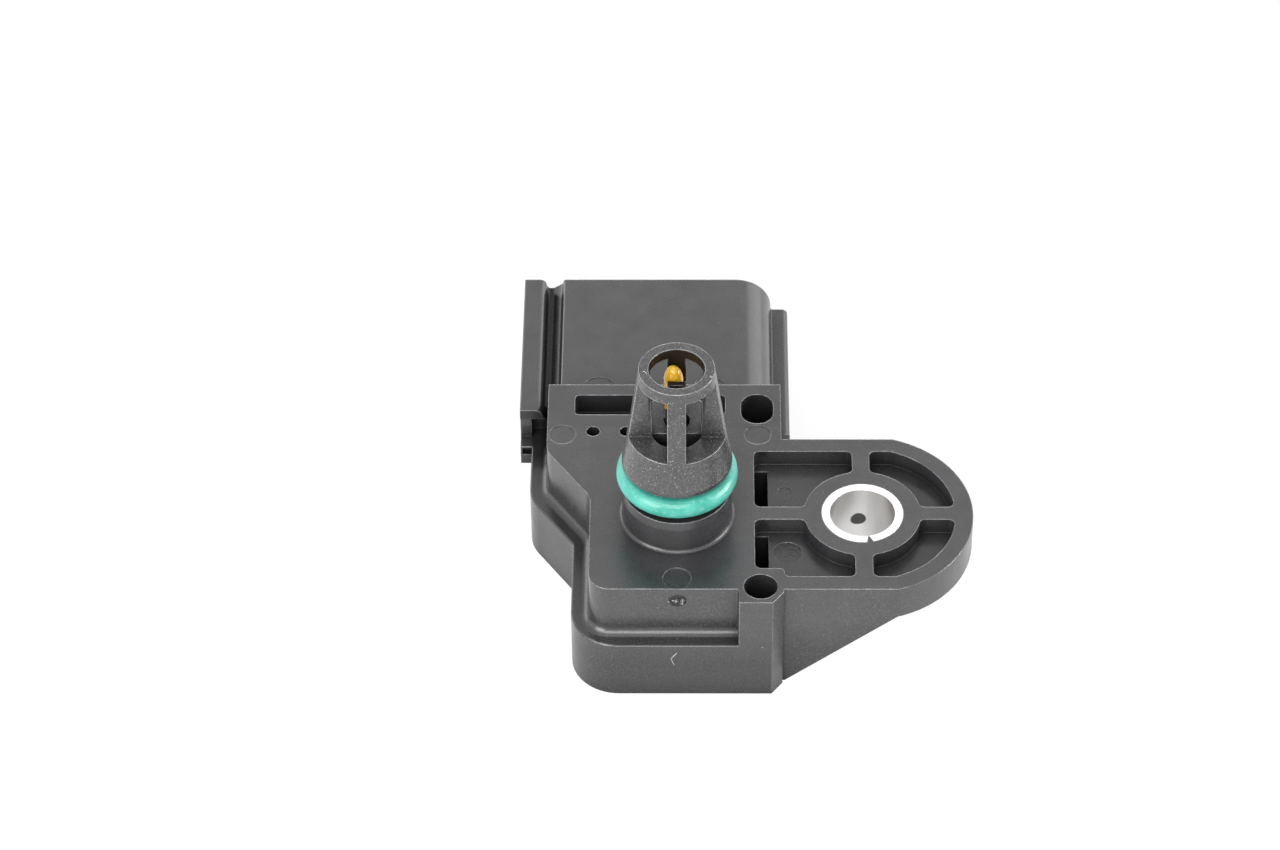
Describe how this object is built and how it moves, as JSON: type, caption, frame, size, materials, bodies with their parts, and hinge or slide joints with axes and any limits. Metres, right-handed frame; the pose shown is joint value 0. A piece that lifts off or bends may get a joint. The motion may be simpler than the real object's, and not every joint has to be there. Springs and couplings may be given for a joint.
{
  "type": "manifold pressure sensor",
  "caption": "Black intake manifold pressure and air temperature sensor: slotted nozzle with a teal seal ring, screw lug with a steel sleeve, and a plug socket.",
  "frame": {"origin": "where the nozzle axis meets the mounting face", "axes": "+Z along the nozzle towards its tip, +X towards the screw lug, +Y towards the plug socket's mouth"},
  "size_m": [0.0495, 0.0533, 0.0356],
  "materials": {
    "housing": "black glass-filled moulding with a fine satin grain",
    "sleeve_steel": "rolled and cut steel",
    "teal_rubber": "smooth moulded rubber",
    "cover": "black moulded plate",
    "sealant": "cured silicone",
    "ceramic_board": "fired white ceramic",
    "pedestal_glass": "ground glass",
    "silicon": "polished silicon",
    "gel_cup": "black moulded cup",
    "gel": "clear soft gel",
    "chip": "moulded chip package",
    "capacitor": "fired chip body",
    "bond_wire": "drawn wire",
    "amber_resin": "glossy dipped resin",
    "tinned_lead": "tinned wire",
    "terminal_metal": "tinned brass strip"
  },
  "bodies": {
    "root": {"housing": "housing", "mounting_bush": "sleeve_steel", "o_ring": "teal_rubber", "back_cover": "cover", "cover_sealant": "sealant", "circuit_board": "ceramic_board", "board_adhesive": "sealant", "glass_pedestal": "pedestal_glass", "silicon_die": "silicon", "gel_frame": "gel_cup", "protective_gel": "gel", "signal_chip": "chip", "capacitors": "capacitor", "bond_wires": "bond_wire", "thermistor_bead": "amber_resin", "thermistor_lead_left": "tinned_lead", "thermistor_lead_right": "tinned_lead", "lead_seal": "sealant", "terminal_1": "terminal_metal", "terminal_2": "terminal_metal", "terminal_3": "terminal_metal", "terminal_4": "terminal_metal"}
  },
  "joints": []
}
